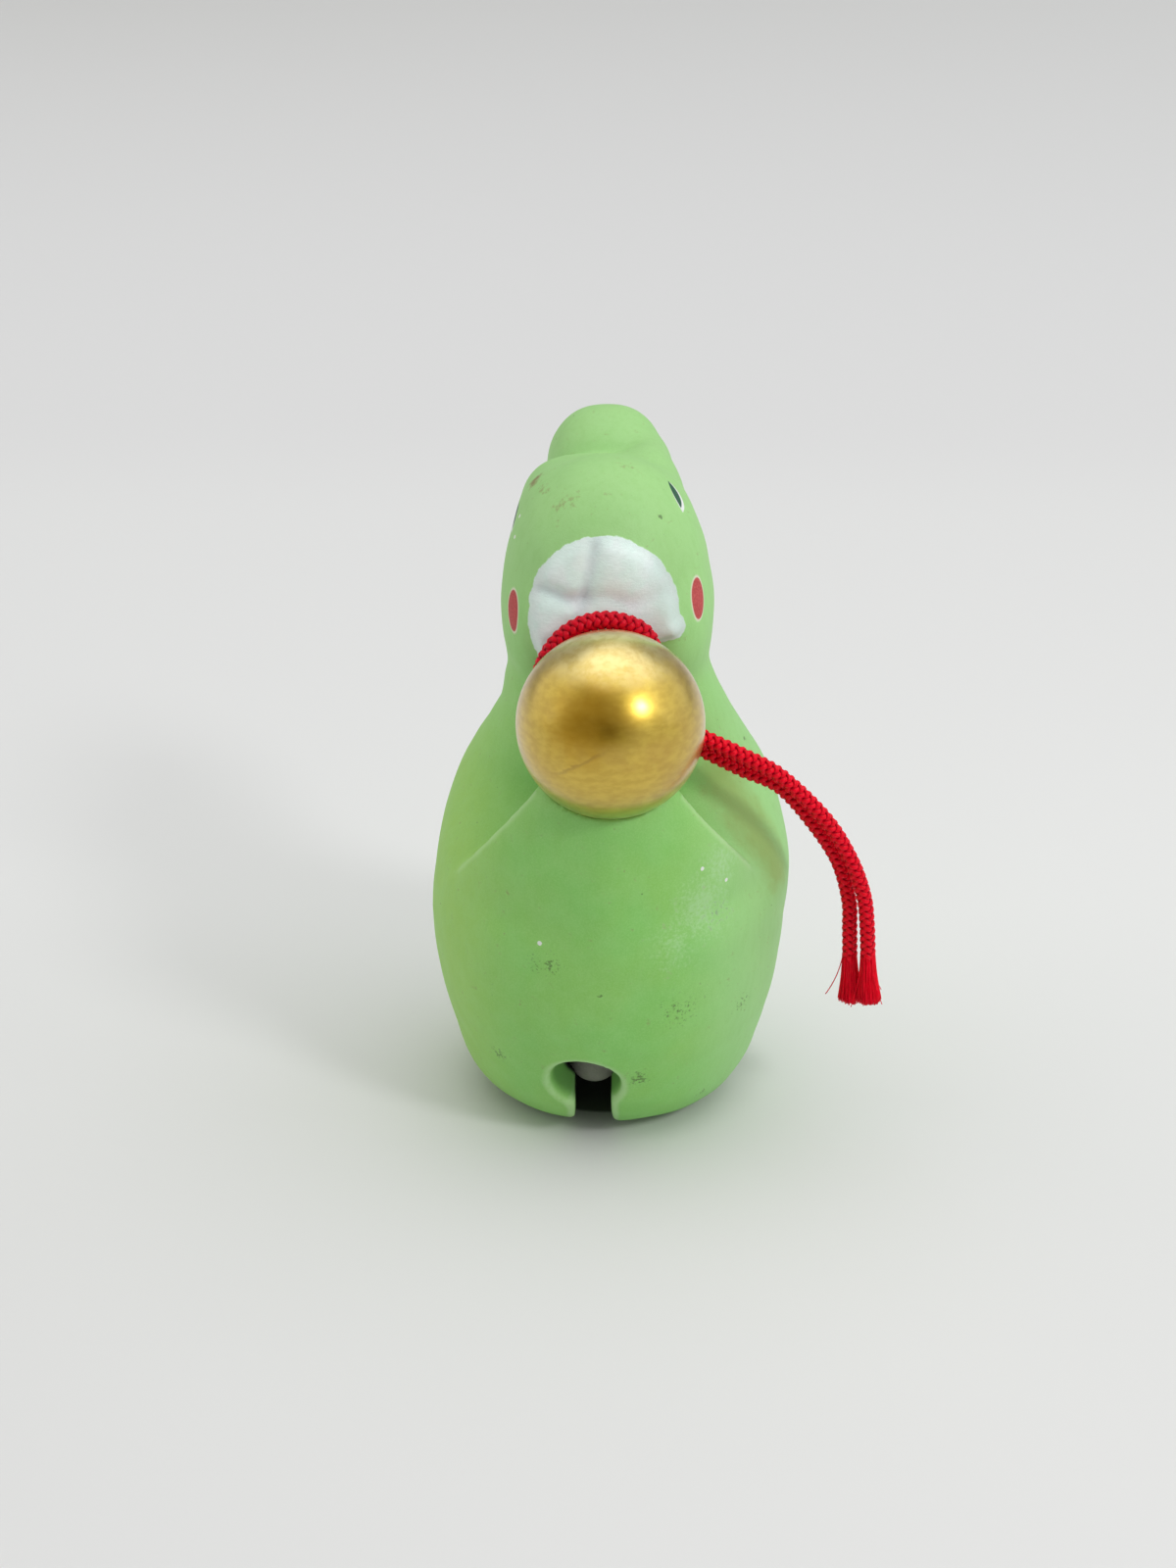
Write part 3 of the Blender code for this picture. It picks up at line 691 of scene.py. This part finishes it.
# Paint: places in millimetres from the trunk's axis, sizes in millimetres
paintForm = {
    "roll": 0.078,  # the painted face sits this much higher on the right, per millimetre across
    "cheek": (-5.85, 66.95), "cheekHalf": (1.0, 2.5), "cheekSlant": 22.0, "cheekRim": 0.16,
    # eyes: their middles, the way to the tip, then shift along and across and half sizes of each lens
    "eyeRight": (-0.75, 78.15), "eyeLeft": (1.9, 76.1), "eyeLine": (-0.748, -0.664),
    "eyeWhite": (0.30, 0.16, 2.1, 0.75), "eyeDark": (0.0, 0.0, 1.9, 0.55),
    "nostril": (2.6, 76.0, 0.7), "mouth": 69.6, "lipWave": (1.2, 0.2), "frontReach": (14.0, 15.0),
    "sideReach": (4.5, 5.0),
    # rubbed places, and paler patches of painted sheen highlight: where, how far they reach and how strong
    # they are
    "brownRubs": (((-8.9, 3.0, 79.2), 2.2, 0.9), ((-7.9, -0.2, 79.4), 2.6, 0.45),
                  ((-5.3, -5.0, 78.8), 3.0, 0.40), ((2.4, -1.1, 82.0), 2.2, 0.35)),
    "sheenPatches": (((11.5, -21.3, 35.0), 7.0, 1.0), ((13.5, -19.0, 39.5), 5.0, 0.9),
                 ((8.0, -23.4, 31.0), 6.0, 0.7)),
    "darkRubs": (((4.1, -21.4, 11.9), 2.4, 1.0), ((-13.0, -17.1, 12.5), 2.2, 0.9),
                 ((8.8, -22.6, 22.2), 4.5, 0.65), ((16.4, -16.2, 19.2), 2.6, 0.75),
                 ((-8.2, -23.4, 28.4), 2.2, 0.6), ((-6.4, -24.2, 28.9), 2.4, 0.75),
                 ((13.1, -19.9, 33.9), 3.4, 0.65), ((-0.7, -25.0, 25.3), 0.6, 1.0),
                 ((16.7, 0.4, 47.2), 0.6, 1.5), ((11.7, -14.6, 5.6), 2.0, 0.7),
                 ((5.9, -5.3, 77.5), 0.42, 1.6)),
    "chips": (((-7.8, -23.1, 31.2), 0.50, 1.0), ((11.1, -20.7, 39.9), 0.42, 1.0),
              ((14.0, -18.2, 37.2), 0.42, 1.0), ((-10.6, -0.2, 75.8), 0.42, 1.0),
              ((-11.1, -1.9, 73.8), 0.42, 1.0)),
    "shadeAndStain": ((13.6, -5.5, 45.0), (20.0, -9.0, 34.5), 5.4),  # from one place to another, and its reach
}


def greenPaint(finish, x, z, wash, grain, cloud):
    brush = finish.noise(1.0, 4.0, finish.stretched((1.3, 1.3, 0.3)))
    # small dark specks in the middle of a few cells
    cells = finish.node("ShaderNodeTexVoronoi", {}, {"Vector": finish.point, "Scale": 0.45}).outputs
    chance = finish.split(cells["Color"])[0]
    speck = (1.0 - Term(finish, cells["Distance"]).between(0.02, 0.07)) * chance.between(0.78, 0.80)
    return finish.layers(
        (0.250, 0.575, 0.112),
        (wash.between(0.35, 0.65), (0.223, 0.580, 0.119)),
        # painted light: both flanks lighter than the middle of the back, the left one yellower and the right
        # one paler, and the upper body lighter, as the light falls on them
        (x.between(-8.0, -19.0), (0.325, 0.605, 0.115)),
        (x.between(7.0, 18.0), (0.322, 0.632, 0.225)),
        (z.between(40.0, 76.0) * 0.8, (0.382, 0.672, 0.268)),
        (cloud.between(0.35, 0.70) * 0.20, (0.36, 0.70, 0.24)),
        (brush.between(0.40, 0.75) * 0.14, (0.20, 0.50, 0.10)),
        (grain.between(0.35, 0.75) * 0.16, (0.46, 0.77, 0.33)),
        (speck * 0.6, (0.03, 0.07, 0.02)))


def rubsAndPaintedLight(finish, place, green, marks, grit, cloud):
    def spots(key):  # nothing beyond the reach of each place
        total = 0.0
        for spot, reach, strength in marks[key]:
            total = ((1.0 - finish.gap(spot) / reach).most(0.0) * strength).most(total)
        return total

    smear = finish.noise(0.7, 3.0) * 0.5 + grit * 0.5
    brown = (spots("brownRubs") * 0.32 + smear).between(0.58, 0.80)
    dark = (spots("darkRubs") * 0.28 + grit).between(0.66, 0.78)
    # painted sheen highlight: paler patches on the tail's right side
    pale = (spots("sheenPatches") * 0.4 + grit).between(0.60, 0.95)
    # painted shade of the right valley and of the cord's shadow there, with some olive discolouration:
    # distance from the nearest point of a straight line
    start, end, reach = marks["shadeAndStain"]
    way = np.array(end) - np.array(start)
    out = [axis - first for axis, first in zip(place, start)]
    share = (sum(gap * float(part) for gap, part in zip(out, way)) / float(way @ way)).most(0.0).least(1.0)
    gaps = [gap - share * float(part) for gap, part in zip(out, way)]
    shadeAndStain = (1.0 - sum(gap * gap for gap in gaps).root() / reach).most(0.0)
    shadeAndStain = (shadeAndStain + cloud * 0.9 - 0.45).between(0.05, 0.9) * shadeAndStain.between(0.0, 0.4)
    chip = (spots("chips") + grit * 0.5).between(0.62, 0.70)
    return finish.layers(
        green,
        (brown * 0.75, (0.24, 0.13, 0.05)),
        (dark * 0.65, (0.05, 0.08, 0.02)),
        (pale * 0.35, (0.55, 0.78, 0.50)),
        (shadeAndStain * 0.70, (0.27, 0.38, 0.08)),
        (chip, (0.78, 0.82, 0.76)))


def pearlPaint(finish, x, z, mane, wash, grit, streak):
    tint = finish.noise(0.30, 2.0)
    # painted shade in the crease and along the fold
    crease = 1.0 - creaseGap(mane, x, z).size().between(0.1, 1.2)
    crease = crease * z.between(*mane["creaseHeights"])
    fold = 1.0 - foldGap(mane, x, z, Term.sine).size().between(0.1, 1.0)
    fold = fold * (1.0 - x.between(-3.0, -1.0) * 0.7)
    # painted shade: the mane darker towards its right end and a little at its left
    sides = x.between(3.0, 7.0) * 0.65 + x.between(-6.0, -9.0) * 0.35
    return finish.layers(
        (0.80, 0.97, 0.93),
        (tint.between(0.40, 0.62), (0.88, 0.97, 0.97)),
        (wash.between(0.45, 0.60) * 0.4, (0.80, 0.95, 0.86)),
        ((1.0 - streak.between(0.30, 0.75)) * 0.22, (0.50, 0.58, 0.56)),
        ((grit - 0.1 * tint).between(0.62, 0.76) * 0.3, (0.45, 0.42, 0.40)),
        (crease.most(fold) * 0.22, (0.58, 0.62, 0.74)),
        (sides, (0.52, 0.62, 0.56)))


def facePaint(finish, place, colour, marks, grain):
    # the same on both sides: ovals on the cheeks, eyes, nostrils and a mouth line
    x, y, z = place
    level = z - x * marks["roll"]
    onSide = x.size().between(*marks["sideReach"])
    slant = math.radians(marks["cheekSlant"])
    outY, outZ = y - marks["cheek"][0], level - marks["cheek"][1]
    across = (outY * math.cos(slant) - outZ * math.sin(slant)) / marks["cheekHalf"][0]
    along = (outY * math.sin(slant) + outZ * math.cos(slant)) / marks["cheekHalf"][1]
    cheek = ((across * across + along * along).root() - 1.0) * marks["cheekHalf"][0]
    rim = (1.0 - cheek.between(0.0, marks["cheekRim"])) * onSide
    colour = finish.mix(rim, colour, (0.72, 0.74, 0.55))
    red = finish.mix(grain.between(0.35, 0.7), (0.44, 0.045, 0.045), (0.56, 0.085, 0.080))
    colour = finish.mix((1.0 - cheek.between(-0.06, 0.02)) * onSide, colour, red)
    onRight = x.between(-0.5, 0.5)
    outY = y - finish.blend(onRight, marks["eyeLeft"][0], marks["eyeRight"][0])
    outZ = level - finish.blend(onRight, marks["eyeLeft"][1], marks["eyeRight"][1])
    lineY, lineZ = marks["eyeLine"]
    for key, shade in (("eyeWhite", (0.82, 0.85, 0.82)), ("eyeDark", (0.02, 0.10, 0.05))):
        shiftAlong, shiftAcross, halfLength, halfWidth = marks[key]
        along = (outY * lineY + outZ * lineZ - shiftAlong) / halfLength
        across = outY * -lineZ + outZ * lineY - shiftAcross
        lens = across.size() - (1.0 - along * along) * halfWidth
        colour = finish.mix((1.0 - lens.between(-0.06, 0.06)) * onSide, colour, shade)
    across, rise = x.size() - marks["nostril"][0], z - marks["nostril"][1]
    nostril = (across * across + rise * rise).root() - marks["nostril"][2]
    height, rate = marks["lipWave"]
    lip = (z - marks["mouth"] - height * (y * rate).sine()).size()
    front = (1.0 - nostril.between(-0.1, 0.1)).most(1.0 - lip.between(0.12, 0.30))
    return finish.mix(front * y.between(*marks["frontReach"]), colour, (0.05, 0.10, 0.05))


def edgePaint(finish, x, colour, form, coat):
    # the mesh keeps the distance from the chamber, the depth below the outside and how sharply it bends
    away, depth, bend = finish.marks()
    halfSlit = form["slitWidth"] / 2
    inSlit = 1.0 - (x - form["slitOffset"]).size().between(halfSlit + 0.02, halfSlit + 0.10)
    # painted shade: the chamber's inside and the deeper slit walls near black, though the bare clay is pale
    insideShade = (1.0 - away.between(0.5, 1.1)).most(inSlit * depth.between(1.2, 2.2))
    return finish.layers(
        colour,
        # painted highlight along sharply bent edges, partly edge wear
        (bend.between(0.30, 1.0) * (1.0 - coat) * 0.4, (0.60, 0.82, 0.48)),
        # painted shade: darker green the deeper below the outside surface, in the holes and the slit
        (depth.between(0.2, 1.8) * 0.75, (0.09, 0.28, 0.05)),
        (insideShade, (0.014, 0.013, 0.011)))


def paintedClay(form, mane, marks):
    finish = Finish("painted_clay")
    x, y, z = place = finish.place()
    wash = finish.noise(0.09, 3.0)
    grain = finish.noise(5.0, 3.0)
    cloud = finish.noise(0.35, 4.0, roughness=0.65)
    grit = finish.noise(2.2, 5.0, roughness=0.7)
    streak = finish.noise(1.0, 5.0, finish.stretched((1.4, 1.4, 5.0)), 0.65)
    green = greenPaint(finish, x, z, wash, grain, cloud)
    green = rubsAndPaintedLight(finish, place, green, marks, grit, cloud)
    # mane: inside the patch, on the back of the head, with a slightly ragged edge
    ragged = finish.noise(0.8, 4.0) * 0.7 - 0.35
    coat = 1.0 - (maneDistance(mane, x, z, Term.most, Term.least) + ragged).between(-0.08, 0.08)
    coat = coat * (1.0 - y.between(-1.0, -0.5))
    colour = finish.mix(coat, green, pearlPaint(finish, x, z, mane, wash, grit, streak))
    colour = facePaint(finish, place, colour, marks, grain)
    colour = edgePaint(finish, x, colour, form, coat)
    finish.set(Base_Color=colour, Roughness=finish.blend(coat, finish.blend(grain, 0.50, 0.66), 0.60))
    rough = grain * 0.6 + finish.noise(1.2, 2.0) * 0.4 + coat * (streak * 1.6 + grit * 0.6)
    finish.bump(rough, 0.35, 0.10)
    return finish


def mouldBody(form):
    field, chamber, outside = clayField(form)
    print("clay field", field.shape)
    low, step = form["low"], form["voxel"]
    points, faces = netSkin(field, low, step)
    points = settled(field, points, low, step)
    points[:, 2] = np.maximum(points[:, 2], 0.0)
    place = (points - np.array(low)) / step
    slopes = enumerate(np.gradient(field, step))
    bend = sum(np.gradient(slope, step, axis=axis) for axis, slope in slopes)
    fromBall = np.linalg.norm(points - ballCentre, axis=1) - ballRadius
    bent = sampled(bend, place) * smoothStep(fromBall, *form["seatFade"])
    marks = np.stack([sampled(chamber, place), -sampled(outside, place), bent], axis=1)
    finish = paintedClay(form, maneForm, paintForm)
    skin = (points, faces, marks)
    addPiece("clay_body", skin, finish, "figure", "green_paint", "shell_left", "shell_right")


mouldBody(clayForm)


# Gold ball on the tail and the loose clay pellet: spheres with a slight unevenness
ballForm = {
    "rows": 96, "columns": 160, "waviness": 0.04, "paleRise": (6.6, 10.0),
    "darkPatchPlace": (-2.2, -29.5, 61.9), "darkPatchReach": (1.0, 6.5),
    # one long scratch: the plane it lies in (direction and offset), its reach from left to right and back
    "scratchPlane": ((-0.498, 0.125, 0.857), 46.85), "scratchReach": (-6.5, -4.5, -1.5, 0.5),
    "scratchBack": (-26.0, -24.0),
}
pelletForm = {"rows": 40, "columns": 64, "waviness": 0.08}


def handRolled(centre, radius, form):
    # radius less a small wave, on rows of latitude and columns of longitude
    rise = np.linspace(-np.pi / 2, np.pi / 2, form["rows"] + 1)[1:-1, None]
    turn = np.arange(form["columns"])[None, :] * 2 * np.pi / form["columns"]
    level = np.cos(rise)
    way = np.stack([level * np.cos(turn), level * np.sin(turn), np.sin(rise) + 0 * turn], axis=-1)
    wave = np.sin(3.1 * way[..., 0] + 1.0) * np.sin(2.7 * way[..., 1] + 2.0) * np.sin(3.3 * way[..., 2])
    skin = centre + way * (radius - form["waviness"] * (1.0 + wave))[..., None]
    poles = centre + np.array([[0, 0, -1.0], [0, 0, 1.0]]) * (radius - form["waviness"])
    index = np.arange(skin[..., 0].size).reshape(skin.shape[:2])
    after = np.roll(index, -1, axis=1)
    quads = np.stack([index[:-1], after[:-1], after[1:], index[1:]], axis=-1).reshape(-1, 4)
    south = np.stack([after[0], index[0], np.full(form["columns"], index.size)], axis=1)
    north = np.stack([index[-1], after[-1], np.full(form["columns"], index.size + 1)], axis=1)
    return np.concatenate([skin.reshape(-1, 3), poles]), [quads, south, north]


def goldPaint(form):
    finish = Finish("gold_paint")
    x, y, z = finish.place()
    cloud = finish.noise(0.22, 4.0)
    brush = finish.noise(1.0, 3.0, finish.stretched((0.8, 0.8, 1.6)))
    # painted highlight: paler on top, where the light from above falls
    mottle = finish.noise(0.55, 4.0, roughness=0.6).between(0.36, 0.62) * 0.55 + 0.45
    pale = (z - ballCentre[2]).between(*form["paleRise"]) * mottle
    # painted dark reflection of the room on the back, browner gold with less coat, partly handling wear
    paintedDark = 1.0 - (finish.gap(form["darkPatchPlace"]) + cloud * 6.0 - 3.0).between(*form["darkPatchReach"])
    lean, offset = form["scratchPlane"]
    low, lowEnd, highEnd, high = form["scratchReach"]
    line = (x * lean[0] + y * lean[1] + z * lean[2] - offset + brush * 0.9 - 0.45).size()
    line = (1.0 - line.between(0.05, 0.35)) * x.between(low, lowEnd) * (1.0 - x.between(highEnd, high))
    line = line * (1.0 - y.between(*form["scratchBack"]))
    gold = finish.layers(
        (0.56, 0.37, 0.022),
        (brush.between(0.3, 0.7), (0.66, 0.46, 0.040)),
        (cloud.between(0.52, 0.72) * 0.35, (0.46, 0.26, 0.015)),
        (pale, (0.87, 0.71, 0.27)),
        (paintedDark * 0.65, (0.50, 0.24, 0.008)),
        (line * 0.4, (0.28, 0.14, 0.010)))
    finish.set(Base_Color=gold, Metallic=1.0, Roughness=finish.blend(cloud.between(0.4, 0.7), 0.32, 0.42),
               Coat_Weight=1.0 - paintedDark * 0.8, Coat_Roughness=0.24, Coat_IOR=1.65)
    finish.bump(brush * 0.5 + finish.noise(4.0, 2.0) * 0.5, 0.12, 0.05)
    return finish


def bareClay():
    finish = Finish("bare_clay")
    finish.place()
    grain = finish.noise(3.0, 4.0)
    finish.set(Base_Color=finish.mix(grain, (0.42, 0.44, 0.36), (0.58, 0.60, 0.50)), Roughness=0.85)
    finish.bump(grain, 0.4, 0.10)
    return finish


ballSkin = handRolled(ballCentre, ballRadius, ballForm)
addPiece("gold_ball", ballSkin, goldPaint(ballForm), "figure", "gold_paint", "tail_ball")
pelletSkin = handRolled(pelletCentre, pelletRadius, pelletForm)
addPiece("clay_pellet", pelletSkin, bareClay(), "pellet", "bare_clay", "pellet")


# Floor, lamps and world: a pale floor under soft light from above, with a darker room behind the camera.
# The floor's half side and the lamp are in metres
studioForm = {
    "floorHalf": 4.0, "nearColour": (0.718, 0.718, 0.720), "floorColour": (0.785, 0.788, 0.788),
    "backColour": (0.760, 0.760, 0.765), "farColour": (0.615, 0.615, 0.608), "sideColour": (0.80, 0.81, 0.82),
    # shade under the foot and close round it, as shares of the foot's own size
    "underColour": (0.04, 0.06, 0.03), "underReach": (1.01, 1.10), "underShade": 0.94,
    "nearReach": (1.0, 1.8), "nearShade": 0.24,
    "suns": (
        # direction it comes from, its width in degrees, strength and colour
        ((0.06, 0.15, 1.0), 70.0, 0.90, (1.0, 0.995, 0.985)),
        ((0.12, -0.28, 1.0), 100.0, 0.52, (1.0, 0.995, 0.985)),
        ((0.80, -0.65, 0.28), 60.0, 0.20, (1.0, 1.0, 1.0)),
        ((-0.80, -0.65, 0.28), 60.0, 0.20, (1.0, 1.0, 1.0)),
        ((0.9, 0.15, 0.50), 60.0, 0.45, (0.94, 0.97, 1.0)),
        ((-0.9, 0.15, 0.45), 60.0, 0.45, (1.0, 0.98, 0.88))),
    "lamp": ((0.295, -0.28, 0.363), (0.0, 0.0, 0.05), 0.10, 0.62),  # place, aim, width and power
    "worldColour": (0.80, 0.81, 0.82), "worldDark": (0.27, 0.255, 0.22), "worldStrength": 0.42,
    "darkWay": (-0.226, -0.845, 0.485), "darkReach": (22.0, 62.0),  # dark room, in degrees
}


def floorPaint(form):
    finish = Finish("pale_floor")
    x, y, _ = finish.place()
    width, back, front = clayForm["foot"]
    across, along = x / width, (y - (front - back) / 2) / ((front + back) / 2)
    share = (across * across + along * along).root()
    under = (1.0 - share.between(*form["underReach"])) * form["underShade"]
    under = under.most((1.0 - share.between(*form["nearReach"])) * form["nearShade"])
    # painted light and shade: the floor's tone changes from near to far and to the right, as the light falls
    # off across it
    tone = finish.layers(
        form["nearColour"],
        (y.between(-110.0, 70.0), form["floorColour"]),
        (y.between(215.0, 300.0), form["backColour"]),
        (y.between(300.0, 1300.0), form["farColour"]),
        (x.between(-700.0, 900.0) * y.between(100.0, 500.0) * 0.5, form["sideColour"]),
        (under, form["underColour"]))
    finish.set(Base_Color=tone, Roughness=0.9)
    return finish


def addFloor(form):
    half = form["floorHalf"]
    corners = [(-half, -half, 0), (half, -half, 0), (half, half, 0), (-half, half, 0)]
    floor = addMesh("pale_floor", corners, [(0, 1, 2, 3)], floorPaint(form))


def addLight(name, kind, strength, way):
    data = bpy.data.lights.new(name, kind)
    data.energy = strength
    light = bpy.data.objects.new(name, data)
    light.rotation_euler = way.to_track_quat("-Z", "Y").to_euler()
    scene.collection.objects.link(light)
    return light


def addLights(form):
    for number, (source, width, strength, colour) in enumerate(form["suns"]):
        sun = addLight(f"soft_sun_{number}", "SUN", strength, -Vector(source))
        sun.data.angle = math.radians(width)
        sun.data.color = colour
    place, aim, size, power = form["lamp"]
    lamp = addLight("small_lamp", "AREA", power, Vector(aim) - Vector(place))
    lamp.location = place
    lamp.data.shape = "DISK"
    lamp.data.size = size
    lamp.visible_camera = False


def addWorld(form):
    world = bpy.data.worlds.new("pale_room")
    world.use_nodes = True
    scene.world = world
    room = Nodes(world.node_tree)
    way = room.node("ShaderNodeTexCoord").outputs["Generated"]
    facing = Term(room, room.vector("DOT_PRODUCT", way, form["darkWay"])["Value"])
    reach = [math.cos(math.radians(angle)) for angle in form["darkReach"]]
    shade = room.mix(facing.between(*reach), form["worldDark"], form["worldColour"])
    back = world.node_tree.nodes["Background"]
    room.feed(back.inputs["Color"], shade)
    room.feed(back.inputs["Strength"], form["worldStrength"])


addFloor(studioForm)
addLights(studioForm)
addWorld(studioForm)
print("studio lit")
